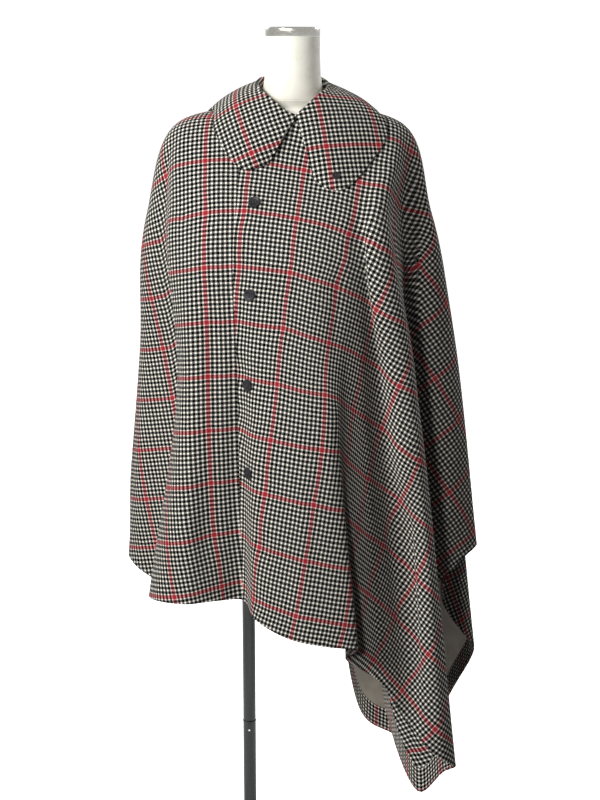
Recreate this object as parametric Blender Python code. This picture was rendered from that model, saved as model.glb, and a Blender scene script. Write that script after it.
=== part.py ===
# Cape coat of checked wool hanging on a limbless dress form with pole and plate.
# Metres, +Z up, the front faces -Y and the wearer's left is +X.
import math

import bmesh
import bpy
import numpy as np
from mathutils import Matrix, Vector

# Cloth
CLOTH = 0.0020
SEAM = 0.0003
LAP_CLEAR = 0.0006
LAP_WIDTH = 0.055
FACING_WIDTH = 0.050
INSIDE_CLOTH = 0.0010
INSIDE_CLEAR = 0.0004
HEM_SHORT = 0.003

# Neckline of the cape
NECK_HALF_WIDTH = 0.070
NECK_HALF_DEPTH = 0.082
NECK_MID_Y = -0.006
NECK_Z = 1.408
NECK_TILT = 0.022
NECK_DIP = 0.006

# Line where the cape leaves the shoulders
SHOULDER_MID_X = -0.006
SHOULDER_HALF_WIDTH = 0.206
SHOULDER_HALF_DEPTH = 0.104
SHOULDER_FRONT_Z = 1.318
SHOULDER_RISE = 0.050
CHEST_Z = 1.220
WAIST_Z = 0.950

# Collar
COLLAR_LIE = 0.0016
ROLL_IN = -0.010
COLLAR_SWELL = 0.006

# Buttons
BUTTON_RADIUS = 0.0105
BUTTON_THICK = 0.0040
SMALL_BUTTON_RADIUS = 0.0070
SMALL_BUTTON_THICK = 0.0030
BUTTON_SEAT = 0.0004
# distance in from the lap edge, height and seat above the cloth of each front button
BUTTONS = ((0.050, 1.249, 0.0003), (0.041, 1.096, -0.0013), (0.032, 0.938, 0.0011), (0.032, 0.781, 0.0002))
TIP_COLUMN = 1.9
TIP_READ = 5.9

# Dress form, pole and plate; FLOOR is the floor's height in the measure of the tables
FLOOR = -0.100
NECK_TOP = 1.5294
CAP_TOP = 1.546
CAP_RADIUS = 0.0490
POLE_X = -0.088
POLE_Y = 0.012
POLE_JOINT = 0.204
CATCH_RADIUS = 0.0028
CATCH_DROP = 0.018
POLE_RADIUS = 0.0128
FLANGE_RADIUS = 0.034
FLANGE_THICK = 0.008
TORSO_BOTTOM = 0.720
PLATE_RADIUS = 0.190
PLATE_THICK = 0.006

# Sections of the cape, one row per ridge, valley, edge or corner of the cloth, from the
# lapping front edge by the wearer's left side and the back to the wearer's right front.
# name, turn in degrees from the front, x and y at the chest, x and y at the waist, hem x, y, z
SECTIONS = (
    ("lap edge", -22, -0.100, -0.156, -0.097, -0.184, -0.091, -0.178, 0.530),
    ("lap strip", -15, -0.066, -0.164, -0.064, -0.208, -0.069, -0.232, 0.516),
    ("front belly", -2, 0.000, -0.170, -0.002, -0.222, -0.003, -0.260, 0.487),
    ("front face", 14, 0.055, -0.168, 0.046, -0.222, 0.062, -0.262, 0.474),
    ("first ridge", 24, 0.090, -0.161, 0.076, -0.210, 0.117, -0.242, 0.458),
    ("under fold", 29, 0.101, -0.155, 0.092, -0.193, 0.096, -0.210, 0.431),
    ("slope", 36, 0.113, -0.149, 0.123, -0.168, 0.165, -0.178, 0.365),
    ("first valley", 45, 0.125, -0.144, 0.154, -0.134, 0.220, -0.168, 0.275),
    ("second flank", 52, 0.139, -0.144, 0.180, -0.150, 0.251, -0.184, 0.238),
    ("second crest", 58, 0.153, -0.138, 0.203, -0.146, 0.284, -0.176, 0.208),
    ("second turn", 63, 0.168, -0.115, 0.216, -0.117, 0.308, -0.140, 0.178),
    ("second back", 65.5, 0.179, -0.093, 0.213, -0.098, 0.288, -0.118, 0.156),
    ("front corner", 68, 0.189, -0.069, 0.206, -0.080, 0.243, -0.104, 0.107),
    ("deep valley", 73, 0.203, -0.047, 0.199, -0.046, 0.172, -0.060, 0.318),
    ("valley wall", 78, 0.230, -0.034, 0.238, -0.028, 0.235, -0.030, 0.450),
    ("arm front", 83, 0.250, -0.020, 0.280, -0.010, 0.304, -0.010, 0.528),
    ("left arm", 90, 0.260, 0.006, 0.308, 0.022, 0.357, 0.028, 0.565),
    ("arm back", 97, 0.258, 0.036, 0.304, 0.054, 0.350, 0.058, 0.555),
    ("back tuck", 102, 0.249, 0.056, 0.280, 0.070, 0.298, 0.066, 0.470),
    ("tuck turn", 107, 0.242, 0.070, 0.270, 0.086, 0.300, 0.084, 0.425),
    ("flute fore", 110, 0.241, 0.079, 0.280, 0.098, 0.345, 0.098, 0.350),
    ("back flute", 113, 0.238, 0.088, 0.288, 0.114, 0.370, 0.120, 0.312),
    ("flute turn", 118, 0.226, 0.102, 0.276, 0.136, 0.334, 0.152, 0.210),
    ("back corner", 125, 0.208, 0.114, 0.245, 0.144, 0.268, 0.170, 0.078),
    ("corner face", 132, 0.186, 0.124, 0.205, 0.150, 0.205, 0.190, 0.088),
    ("corner rise", 140, 0.160, 0.134, 0.165, 0.160, 0.138, 0.202, 0.142),
    ("corner edge", 147, 0.135, 0.140, 0.135, 0.174, 0.116, 0.226, 0.240),
    ("back ridge", 155, 0.105, 0.146, 0.110, 0.196, 0.112, 0.262, 0.330),
    ("back valley", 164, 0.066, 0.150, 0.062, 0.178, 0.060, 0.205, 0.385),
    ("middle back", 180, 0.000, 0.156, 0.000, 0.204, -0.005, 0.245, 0.430),
    ("right valley", 193, -0.055, 0.150, -0.062, 0.178, -0.075, 0.190, 0.455),
    ("right ridge", 207, -0.108, 0.144, -0.120, 0.194, -0.135, 0.240, 0.470),
    ("blade valley", 220, -0.152, 0.126, -0.172, 0.150, -0.195, 0.165, 0.490),
    ("blade ridge", 235, -0.196, 0.108, -0.222, 0.150, -0.255, 0.190, 0.505),
    ("side valley", 250, -0.232, 0.074, -0.256, 0.090, -0.272, 0.100, 0.525),
    ("arm ridge", 262, -0.255, 0.038, -0.280, 0.058, -0.315, 0.066, 0.540),
    ("right arm", 270, -0.266, 0.008, -0.287, 0.022, -0.321, 0.026, 0.545),
    ("side face", 277, -0.260, -0.020, -0.274, -0.010, -0.302, -0.006, 0.532),
    ("side wall", 284, -0.244, -0.042, -0.246, -0.034, -0.260, -0.032, 0.512),
    ("hidden valley", 289, -0.226, -0.056, -0.204, -0.060, -0.228, -0.064, 0.505),
    ("right turn", 295, -0.222, -0.080, -0.206, -0.102, -0.265, -0.106, 0.515),
    ("right flank", 303, -0.210, -0.108, -0.200, -0.154, -0.250, -0.178, 0.530),
    ("right face", 315, -0.172, -0.134, -0.166, -0.188, -0.191, -0.213, 0.536),
    ("right front", 328, -0.132, -0.150, -0.126, -0.189, -0.135, -0.193, 0.535),
)
TURN, CHEST_X, CHEST_Y, WAIST_X, WAIST_Y, HEM_X, HEM_Y, HEM_DROP = range(1, 9)

# Collar, one row per column of cloth: turn at the neck, turn at the edge, fall, stand height
COLLAR = (
    (6, 10, 0.106, 0.016),
    (10, 16, 0.132, 0.020),
    (16, 23, 0.144, 0.025),
    (25, 31, 0.143, 0.031),
    (37, 41, 0.133, 0.038),
    (52, 54, 0.117, 0.041),
    (70, 70, 0.094, 0.039),
    (90, 90, 0.080, 0.037),
    (115, 115, 0.088, 0.037),
    (145, 145, 0.096, 0.037),
    (180, 180, 0.100, 0.034),
    (215, 215, 0.096, 0.037),
    (245, 245, 0.088, 0.040),
    (270, 270, 0.068, 0.041),
    (290, 290, 0.068, 0.042),
    (308, 306, 0.081, 0.041),
    (323, 319, 0.089, 0.037),
    (336, 329, 0.099, 0.031),
    (346, 337, 0.108, 0.025),
    (354, 344, 0.098, 0.020),
    (364, 351, 0.078, 0.016),
)
AT_NECK, AT_EDGE, FALL, STAND = range(4)

# Dress form rings: height, half width, half depth, middle y
TORSO = (
    (0.720, 0.138, 0.090, 0.012),
    (0.732, 0.158, 0.106, 0.012),
    (0.800, 0.168, 0.112, 0.012),
    (0.880, 0.158, 0.104, 0.008),
    (0.955, 0.134, 0.089, 0.002),
    (1.020, 0.121, 0.083, 0.000),
    (1.090, 0.130, 0.094, -0.004),
    (1.170, 0.146, 0.112, -0.010),
    (1.250, 0.160, 0.104, -0.002),
    (1.305, 0.186, 0.088, 0.006),
    (1.336, 0.195, 0.072, 0.010),
    (1.358, 0.190, 0.058, 0.012),
    (1.376, 0.174, 0.054, 0.012),
    (1.394, 0.114, 0.054, 0.010),
    (1.404, 0.0740, 0.050, 0.010),
    (1.420, 0.0600, 0.052, 0.004),
    (1.450, 0.052, 0.052, -0.002),
    (1.490, 0.049, 0.050, -0.006),
    (NECK_TOP, 0.0485, 0.0490, -0.008),
)
TORSO_SQUARE = 2.3

for thing in list(bpy.data.objects):
    bpy.data.objects.remove(thing, do_unlink=True)


def curve(knots, points, at):
    """Smooth curve through points given at rising knots, read at any places."""
    knots = np.asarray(knots, float)
    points = np.asarray(points, float)
    shape = (-1,) + (1,) * (points.ndim - 1)
    step = np.diff(knots).reshape(shape)
    slope = np.diff(points, axis=0) / step
    tangent = np.empty_like(points)
    tangent[0], tangent[-1] = slope[0], slope[-1]
    tangent[1:-1] = (slope[:-1] * step[1:] + slope[1:] * step[:-1]) / (step[1:] + step[:-1])
    at = np.atleast_1d(np.asarray(at, float))
    cell = np.clip(np.searchsorted(knots, at, side="right") - 1, 0, len(knots) - 2)
    wide = step[cell]
    u = (at - knots[cell]).reshape(shape) / wide
    return (
        points[cell] * (2 * u**3 - 3 * u**2 + 1)
        + points[cell + 1] * (3 * u**2 - 2 * u**3)
        + tangent[cell] * wide * (u**3 - 2 * u**2 + u)
        + tangent[cell + 1] * wide * (u**3 - u**2)
    )


def neck_point(turn):
    a = math.radians(turn)
    return (
        NECK_HALF_WIDTH * math.sin(a),
        NECK_MID_Y - NECK_HALF_DEPTH * math.cos(a),
        NECK_Z - NECK_TILT * math.cos(a) - NECK_DIP * math.cos(a) ** 2,
    )


def shoulder_point(turn):
    a = math.radians(turn)
    return (
        SHOULDER_MID_X + SHOULDER_HALF_WIDTH * math.sin(a),
        -SHOULDER_HALF_DEPTH * math.cos(a),
        SHOULDER_FRONT_Z + SHOULDER_RISE * math.sin(a) ** 2 + 0.006 * (1 - math.cos(a)),
    )


def stations(row):
    return (
        neck_point(row[TURN]),
        shoulder_point(row[TURN]),
        (row[CHEST_X], row[CHEST_Y], CHEST_Z),
        (row[WAIST_X], row[WAIST_Y], WAIST_Z),
        (row[HEM_X], row[HEM_Y], row[HEM_DROP]),
    )


RINGS = np.array([stations(row) for row in SECTIONS])
GIRTH = np.linalg.norm(np.roll(RINGS, -1, axis=0)[:, 3:, :2] - RINGS[:, 3:, :2], axis=2).mean(axis=1)
STARTS = np.concatenate(([0.0], np.cumsum(GIRTH)))
ROUND = STARTS[-1]
PLACE = {row[0]: start for row, start in zip(SECTIONS, STARTS)}
LOOP_KNOTS = np.concatenate((STARTS[:-1] - ROUND, STARTS[:-1], STARTS[:-1] + ROUND))
LOOP_RINGS = np.concatenate((RINGS, RINGS, RINGS))
LOOP_TURNS = np.array([row[TURN] for row in SECTIONS], float)
LOOP_TURNS = np.concatenate((LOOP_TURNS - 360, LOOP_TURNS, LOOP_TURNS + 360))


def place_of_turn(turn):
    return float(np.interp(turn, LOOP_TURNS, LOOP_KNOTS))


def down_curve(place):
    five = curve(LOOP_KNOTS, LOOP_RINGS, place)[0]
    steps = np.linalg.norm(np.diff(five, axis=0), axis=1)
    return np.concatenate(([0.0], np.cumsum(steps))), five


def drop_length(place):
    return down_curve(place)[0][-1]


def cape(place, drop):
    """Point of the cape's middle surface, drop from 0 at the neck to 1 at the hem."""
    knots, five = down_curve(place)
    return curve(knots, five, drop * knots[-1])[0]


def outward(place, drop):
    a, b = min(drop + 0.004, 1.0), max(drop - 0.004, 0.0)
    around = cape(place + 0.0015, drop) - cape(place - 0.0015, drop)
    down = cape(place, a) - cape(place, b)
    n = np.cross(down, around)
    return n / np.linalg.norm(n)


def off_cape(place, drop, lift):
    return cape(place, drop) + outward(place, drop) * lift


def beside(place, drop, lift, short):
    """Point off the cape, moved a little along it."""
    around = cape(place + 0.0015, drop) - cape(place - 0.0015, drop)
    return off_cape(place, drop, lift) + around * short / np.linalg.norm(around)


def place_object(name, verts, faces, look):
    mesh = bpy.data.meshes.new(name)
    mesh.from_pydata([(float(v[0]), float(v[1]), float(v[2]) - FLOOR) for v in verts], [], faces)
    tidy = bmesh.new()
    tidy.from_mesh(mesh)
    bmesh.ops.recalc_face_normals(tidy, faces=tidy.faces)
    bmesh.ops.triangulate(tidy, faces=[f for f in tidy.faces if len(f.verts) > 3])
    tidy.to_mesh(mesh)
    tidy.free()
    obj = bpy.data.objects.new(name, mesh)
    bpy.context.scene.collection.objects.link(obj)
    colour, rough, metal = look
    material = bpy.data.materials.new(name + "_look")
    material.use_nodes = True
    shader = material.node_tree.nodes["Principled BSDF"]
    shader.inputs["Base Color"].default_value = (*colour, 1.0)
    shader.inputs["Roughness"].default_value = rough
    shader.inputs["Metallic"].default_value = metal
    mesh.materials.append(material)
    return obj


def wall(name, outer, inner, look):
    """Closed sheet between two grids of points of one size."""
    across, along = len(outer), len(outer[0])
    verts = [p for line in outer for p in line] + [p for line in inner for p in line]
    back = across * along
    faces = []
    for i in range(across - 1):
        for j in range(along - 1):
            a, b = i * along + j, (i + 1) * along + j
            faces.append((a, b, b + 1, a + 1))
            faces.append((back + a, back + a + 1, back + b + 1, back + b))
    rim = [i * along for i in range(across)]
    rim += [(across - 1) * along + j for j in range(1, along)]
    rim += [i * along + along - 1 for i in range(across - 2, -1, -1)]
    rim += [j for j in range(along - 2, 0, -1)]
    for a, b in zip(rim, rim[1:] + rim[:1]):
        faces.append((a, back + a, back + b, b))
    return place_object(name, verts, faces, look)


def panel(name, places, drops, look, lift=lambda place: 0.0, thick=CLOTH):
    """Sheet of cloth over part of the cape, half a seam short of both its ends."""
    outer, inner = [], []
    for place in places:
        line = drops(place)
        high = lift(place)
        short = HALF_SEAM * ((place == places[0]) - 1 * (place == places[-1]))
        outer.append([beside(place, d, high + thick / 2, short) for d in line])
        inner.append([beside(place, d, high - thick / 2, short) for d in line])
    return wall(name, outer, inner, look)


def columns(first, last):
    """Places from one section to another, closer together where the hem bends."""
    fine = np.linspace(first, last, 800)
    hem = curve(LOOP_KNOTS, LOOP_RINGS[:, 4, :2], fine)
    step = np.diff(hem, axis=0)
    heading = np.unwrap(np.arctan2(step[:, 1], step[:, 0]))
    bend = np.abs(np.diff(heading, prepend=heading[0]))
    weight = np.cumsum(np.linalg.norm(step, axis=1) / PITCH + bend / BEND)
    weight = np.concatenate(([0.0], weight))
    return list(np.interp(np.linspace(0, weight[-1], math.ceil(weight[-1]) + 1), weight, fine))


def between(places, first, last):
    return [place for place in places if first <= place <= last]


def faced(place):
    """Share of the drop above the hem facing."""
    return 1.0 - FACING_WIDTH / drop_length(place)


def full_drop(place):
    return np.append(DROPS * faced(place), 1.0)


def strip_drop(place):
    return np.array((faced(place), 1.0 - HEM_SHORT / drop_length(place)))


def lining_drop(place):
    line = DROPS[LINING_FROM:] * faced(place)
    line[-1] -= 2 * SEAM / drop_length(place)
    return line


def lathe(name, profile, middle, axis, look, sides):
    """Body turned from radius and height pairs, closed on its axis at both ends."""
    turn = Vector((0, 0, 1)).rotation_difference(Vector(axis)).to_matrix().to_4x4()
    move = Matrix.Translation(Vector(middle)) @ turn
    verts = [move @ Vector((0, 0, profile[0][1])), move @ Vector((0, 0, profile[-1][1]))]
    for radius, height in profile:
        for k in range(sides):
            a = 2 * math.pi * k / sides
            verts.append(move @ Vector((radius * math.cos(a), radius * math.sin(a), height)))
    faces = []
    last = 2 + (len(profile) - 1) * sides
    for k in range(sides):
        n = (k + 1) % sides
        faces.append((0, 2 + n, 2 + k))
        faces.append((1, last + k, last + n))
        for ring in range(len(profile) - 1):
            a = 2 + ring * sides
            faces.append((a + k, a + n, a + sides + n, a + sides + k))
    return place_object(name, verts, faces, look)


def button(name, middle, axis, radius, thick):
    profile = (
        (radius * 0.80, 0.0),
        (radius, thick * 0.45),
        (radius * 0.95, thick),
        (radius * 0.80, thick),
        (radius * 0.66, thick * 0.72),
    )
    return lathe(name, profile, middle, axis, BUTTON_LOOK, 16)


WOOL_LOOK = ((0.42, 0.40, 0.37), 0.9, 0.0)
LINING_LOOK = ((0.30, 0.27, 0.20), 0.7, 0.0)
BUTTON_LOOK = ((0.03, 0.03, 0.04), 0.35, 0.0)
FORM_LOOK = ((0.80, 0.76, 0.68), 0.45, 0.0)
METAL_LOOK = ((0.70, 0.70, 0.70), 0.15, 1.0)
STEEL_LOOK = ((0.30, 0.30, 0.31), 0.35, 1.0)

DROPS = np.array((0, 0.05, 0.095, 0.135, 0.18, 0.24, 0.33, 0.46, 0.60, 0.74, 0.87, 1.0))
LINING_FROM = 7
PITCH = 0.050
BEND = math.radians(25)
HALF_SEAM = SEAM / 2
LAP_LIFT = -(CLOTH + LAP_CLEAR)

EDGE = PLACE["lap edge"]
LEFT_SEAM = PLACE["left arm"]
BACK_SEAM = PLACE["middle back"]
RIGHT_SEAM = PLACE["right arm"]


def lap_lift(place):
    """The under front sinks beneath the lapping front before it reaches the edge."""
    u = min(max((place - (ROUND + EDGE - 0.045)) / 0.040, 0.0), 1.0)
    return LAP_LIFT * u * u * (3 - 2 * u)


FRONT_LEFT = columns(EDGE, LEFT_SEAM)
BACK_LEFT = columns(LEFT_SEAM, BACK_SEAM)
FRONT_RIGHT = columns(RIGHT_SEAM, ROUND + EDGE)
FRONT_RIGHT += [place + ROUND for place in between(FRONT_LEFT, EDGE + 0.001, EDGE + LAP_WIDTH)]
panel("front_left", FRONT_LEFT, full_drop, WOOL_LOOK)
panel("back_left", BACK_LEFT, full_drop, WOOL_LOOK)
panel("back_right", columns(BACK_SEAM, RIGHT_SEAM), full_drop, WOOL_LOOK)
panel("front_right", FRONT_RIGHT, full_drop, WOOL_LOOK, lap_lift)

INSIDE_LIFT = -(CLOTH / 2 + INSIDE_CLEAR + INSIDE_CLOTH / 2)


def inside(place):
    return INSIDE_LIFT


FACED_FRONT = between(FRONT_LEFT, PLACE["slope"], LEFT_SEAM)
FACED_BACK = between(BACK_LEFT, LEFT_SEAM, PLACE["back ridge"])
panel("facing_front_left", FACED_FRONT, strip_drop, WOOL_LOOK, inside, INSIDE_CLOTH)
panel("facing_back_left", FACED_BACK, strip_drop, WOOL_LOOK, inside, INSIDE_CLOTH)
panel("lining_back_left", FACED_BACK, lining_drop, LINING_LOOK, inside, INSIDE_CLOTH)


def collar_section(row):
    """Middle line of the collar from the neck seam over the roll to its outer edge."""
    seam = cape(place_of_turn(row[AT_NECK]), 0.0)
    a = math.radians(row[AT_NECK])
    away = np.array((math.sin(a), -math.cos(a), 0.0))
    up = np.array((0.0, 0.0, 1.0))
    stand = row[STAND]
    edge = place_of_turn(row[AT_EDGE])
    end = off_cape(edge, row[FALL] / drop_length(edge), COLLAR_LIE + CLOTH)
    roll = seam + up * (stand - 0.0045) + away * (ROLL_IN + 0.0100)
    swell = np.cross(end - roll, np.cross(up, away))
    swell *= COLLAR_SWELL / np.linalg.norm(swell)
    line = [
        seam + up * 0.0022,
        seam + up * stand * 0.55 + away * ROLL_IN * 0.7,
        seam + up * stand + away * (ROLL_IN + 0.0035),
        roll,
    ]
    line += [roll + (end - roll) * t + swell * 4 * t * (1 - t) for t in (0.25, 0.5, 0.75, 1.0)]
    return np.array(line)


COLLAR_KNOTS = (0.0, 0.8, 1.6, 2.3, 3.3, 4.3, 5.5, 6.7)
COLLAR_READ = (0.0, 0.7, 1.2, 1.45, 1.7, 2.0, 2.4, 3.1, 4.0, 5.0, 6.0, 6.7)
COLLAR_COLUMNS = np.arange(0, len(COLLAR) - 0.9, 0.5)
COLLAR_ROWS = np.array(COLLAR)


def collar_line(column, read):
    row = curve(np.arange(len(COLLAR)), COLLAR_ROWS, column)[0]
    return curve(COLLAR_KNOTS, collar_section(row), read)


spine = np.array([collar_line(column, COLLAR_READ) for column in COLLAR_COLUMNS])
side = np.gradient(spine, axis=0)
fall = np.gradient(spine, axis=1)
face = np.cross(fall, side)
face /= np.linalg.norm(face, axis=2, keepdims=True)
wall("collar", spine + face * CLOTH / 2, spine - face * CLOTH / 2, WOOL_LOOK)


def drop_at_height(place, height):
    low, high = 0.05, 1.0
    for _ in range(30):
        half = (low + high) / 2
        if cape(place, half)[2] > height:
            low = half
        else:
            high = half
    return low


for number, (inward, height, seat) in enumerate(BUTTONS, 1):
    where = EDGE + inward
    drop = drop_at_height(where, height)
    axis = outward(where, drop)
    middle = cape(where, drop)
    reach = 0.8 * BUTTON_RADIUS
    ring = [math.radians(angle) for angle in range(0, 360, 30)]
    under = [
        cape(where + reach * math.sin(a), drop + reach * math.cos(a) / drop_length(where)) - middle
        for a in ring
    ]
    rise = max(float(point @ axis) for point in under) + CLOTH / 2 + seat
    button("button_front_%d" % number, middle + axis * rise, axis, BUTTON_RADIUS, BUTTON_THICK)

tip = collar_line(TIP_COLUMN, TIP_READ)[0]
tip_down = collar_line(TIP_COLUMN, TIP_READ + 0.05)[0] - tip
tip_side = collar_line(TIP_COLUMN + 0.05, TIP_READ)[0] - tip
tip_out = np.cross(tip_down, tip_side)
tip_out /= np.linalg.norm(tip_out)
tip_seat = tip + tip_out * (CLOTH / 2 + BUTTON_SEAT)
button("button_collar", tip_seat, tip_out, SMALL_BUTTON_RADIUS, SMALL_BUTTON_THICK)

# Dress form
rings = np.array(TORSO)
low_heights = (TORSO_BOTTOM, 0.732, *np.linspace(0.77, 1.28, 9))
high_heights = (*np.linspace(1.305, 1.42, 10), 1.45, 1.49, NECK_TOP)
heights = np.array(low_heights + high_heights)
form = curve(rings[:, 0], rings[:, 1:], heights)
SIDES = 32
verts = [(0, form[0][2], TORSO_BOTTOM), (0, form[-1][2], NECK_TOP)]
for height, (wide, deep, middle) in zip(heights, form):
    square = 2.0 + (TORSO_SQUARE - 2.0) * min(max((1.44 - height) / 0.1, 0.0), 1.0)
    for k in range(SIDES):
        a = 2 * math.pi * k / SIDES
        c, s = math.cos(a), math.sin(a)
        reach = (abs(c) ** square + abs(s) ** square) ** (-1 / square)
        verts.append((wide * c * reach, middle + deep * s * reach, height))
faces = []
top = 2 + (len(heights) - 1) * SIDES
for k in range(SIDES):
    n = (k + 1) % SIDES
    faces.append((0, 2 + n, 2 + k))
    faces.append((1, top + k, top + n))
    for ring in range(len(heights) - 1):
        a = 2 + ring * SIDES
        faces.append((a + k, a + n, a + SIDES + n, a + SIDES + k))
place_object("torso", verts, faces, FORM_LOOK)

cap_base = NECK_TOP + SEAM
cap_profile = (
    (CAP_RADIUS - 0.001, cap_base),
    (CAP_RADIUS, cap_base + 0.001),
    (CAP_RADIUS, CAP_TOP - 0.003),
    (CAP_RADIUS - 0.003, CAP_TOP),
)
lathe("neck_cap", cap_profile, (0, -0.008, 0), (0, 0, 1), METAL_LOOK, 32)

foot = FLOOR + PLATE_THICK + SEAM
tube_foot = foot + FLANGE_THICK
lower_profile = (
    (FLANGE_RADIUS, foot),
    (FLANGE_RADIUS, tube_foot - 0.002),
    (FLANGE_RADIUS - 0.002, tube_foot),
    (POLE_RADIUS + 0.003, tube_foot),
    (POLE_RADIUS, tube_foot + 0.004),
    (POLE_RADIUS, POLE_JOINT - 0.003),
    (POLE_RADIUS + 0.0006, POLE_JOINT - 0.002),
    (POLE_RADIUS + 0.0006, POLE_JOINT - 0.0005),
    (POLE_RADIUS, POLE_JOINT),
)
lathe("pole_lower", lower_profile, (POLE_X, POLE_Y, 0), (0, 0, 1), STEEL_LOOK, 24)
upper_profile = (
    (POLE_RADIUS - 0.0008, POLE_JOINT + SEAM),
    (POLE_RADIUS - 0.0002, POLE_JOINT + 0.003),
    (POLE_RADIUS - 0.0002, TORSO_BOTTOM - SEAM),
)
lathe("pole_upper", upper_profile, (POLE_X, POLE_Y, 0), (0, 0, 1), STEEL_LOOK, 24)
catch_profile = ((CATCH_RADIUS, 0.0), (CATCH_RADIUS * 0.9, 0.0010), (CATCH_RADIUS * 0.5, 0.0018))
catch_seat = (POLE_X, POLE_Y - POLE_RADIUS - SEAM, POLE_JOINT - CATCH_DROP)
lathe("pole_catch", catch_profile, catch_seat, (0, -1, 0), METAL_LOOK, 12)

plate_profile = (
    (PLATE_RADIUS, FLOOR),
    (PLATE_RADIUS, FLOOR + PLATE_THICK - 0.002),
    (PLATE_RADIUS - 0.002, FLOOR + PLATE_THICK),
)
lathe("base", plate_profile, (0, 0, 0), (0, 0, 1), STEEL_LOOK, 48)
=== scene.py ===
import math

import bpy
import numpy as np
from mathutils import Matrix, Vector


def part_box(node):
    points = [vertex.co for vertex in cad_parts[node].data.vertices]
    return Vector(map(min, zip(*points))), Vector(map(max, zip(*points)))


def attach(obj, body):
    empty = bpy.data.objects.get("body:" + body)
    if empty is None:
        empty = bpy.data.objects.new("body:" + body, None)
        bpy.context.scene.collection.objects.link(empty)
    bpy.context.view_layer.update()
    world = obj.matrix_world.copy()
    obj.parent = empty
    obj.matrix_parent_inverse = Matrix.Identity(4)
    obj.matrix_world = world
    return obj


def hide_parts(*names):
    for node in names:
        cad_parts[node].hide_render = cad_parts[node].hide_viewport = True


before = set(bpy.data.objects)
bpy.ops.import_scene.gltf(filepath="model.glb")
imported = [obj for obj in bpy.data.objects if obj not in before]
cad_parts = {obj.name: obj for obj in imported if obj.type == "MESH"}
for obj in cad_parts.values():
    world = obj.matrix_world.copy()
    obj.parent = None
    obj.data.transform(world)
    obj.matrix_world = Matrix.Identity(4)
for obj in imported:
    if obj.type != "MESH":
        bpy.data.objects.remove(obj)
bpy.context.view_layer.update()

# Cloth, in metres; heights in the tables are measured from 0.1 m above the floor
LIFT_UP = 0.100
CLOTH = 0.0020
SEAM = 0.0003
LAP_CLEAR = 0.0006
LAP_WIDTH = 0.055
FACING_WIDTH = 0.050
CORNER_FACING = 0.160
INSIDE_CLOTH = 0.0010
INSIDE_CLEAR = 0.0004
HEM_SHORT = 0.003
GRID = 0.0058
CHECK = 0.0082
REPEAT = 12 * CHECK
PIN_PULL = 8.0
# gap of the close pair of points that keeps a cut edge crisp, stiffness inside tucked folds
EDGE_PAIR, TUCK_STIFF = 0.0013, 0.06
# points across and down of the grid that a panel is laid flat on, and where its grain line starts
LAY_ACROSS, LAY_DOWN, GRAIN_FROM = 48, 26, 8
# steps by which the cape's outward direction is felt
DROP_STEP, PLACE_STEP = 0.004, 0.0015
# fade of a crease at its start and end, and its unevenness
CREASE_IN, CREASE_OUT, CREASE_UNEVEN = 0.18, 0.16, 0.35
# where the lap starts to go under and how long it takes, and the fronts' grain line in from the edge
LAP_FROM, LAP_EASE, GRAIN_IN = 0.045, 0.040, 0.02
# share of the drop at which the lining starts, and spread of the widened corner facing
LINING_TOP, FACING_SPREAD = 0.46, 0.06

# Neckline, shoulder line, chest and waist of the cape
NECK_HALF_WIDTH, NECK_HALF_DEPTH, NECK_MID_Y = 0.070, 0.082, -0.006
NECK_Z, NECK_TILT, NECK_DIP = 1.408, 0.022, 0.006
SHOULDER_MID_X, SHOULDER_HALF_WIDTH, SHOULDER_HALF_DEPTH = -0.006, 0.206, 0.104
SHOULDER_FRONT_Z, SHOULDER_RISE, SHOULDER_BACK_RISE = 1.318, 0.050, 0.006
CHEST_Z, WAIST_Z = 1.220, 0.950

# Collar
COLLAR_LIE, ROLL_IN, COLLAR_SWELL = 0.0016, -0.010, 0.006
COLLAR_STEP, COLLAR_READ_STEP, COLLAR_SEAM = 0.11, 0.15, 0.0004
# turn of each half on the cloth in degrees and its shift
LEFT_COLLAR_GRAIN = 14.5, (-0.0547, 0.0788)
RIGHT_COLLAR_GRAIN = -126.0, (0.1080, 0.1589)

# Buttons
BUTTON_RADIUS, BUTTON_THICK = 0.0105, 0.0040
SMALL_BUTTON_RADIUS, SMALL_BUTTON_THICK = 0.0070, 0.0030
# distance in from the lap edge and height of each front button
BUTTONS = ((0.050, 1.249), (0.041, 1.096), (0.032, 0.938), (0.032, 0.781))
TIP_COLUMN, TIP_READ = 1.9, 5.9

# Stand
NECK_JOIN, NECK_TOP, NECK_Y, GROOVE = 1.4200, 1.5294, -0.008, 0.0010
CAP_TOP, CAP_RADIUS = 1.546, 0.0490
POLE_X, POLE_Y, POLE_RADIUS, POLE_JOINT = -0.088, 0.012, 0.0128, 0.204
CATCH_RADIUS, CATCH_DROP = 0.0028, 0.018
FLANGE_RADIUS, FLANGE_THICK = 0.034, 0.008
TORSO_BOTTOM, PLATE_RADIUS, PLATE_THICK = 0.720, 0.190, 0.006
FLOOR = -LIFT_UP

# Room, lights and camera; each light with its place, height aimed at, size and watts
ROOM_REACH, ROOM_SIDES, ROOM_HOLE = 15.0, 48, 0.12
LIGHTS = (
    ("key_light", (-2.2, -2.4, 2.75), 1.15, 1.1, 132),
    ("front_light", (-0.88, -3.55, 2.3), 1.1, 0.4, 58),
    ("back_light_left", (2.4, 2.0, 2.6), 1.1, 1.4, 60),
    ("back_light_right", (-2.0, 2.6, 2.6), 1.1, 1.4, 60),
)
SKY_STRENGTH = 0.06
CAMERA_PLACE, CAMERA_DIP, CAMERA_LENS, CAMERA_WIDTH = (0.0128, -2.75, 1.63), math.atan(364 / 1500), 67.5, 36.0


def thousandths(first, last, rows):
    """Table whose columns from first up to last are written in thousandths."""
    return tuple((*row[:first], *(k / 1000 for k in row[first:last]), *row[last:]) for row in rows)


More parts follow.
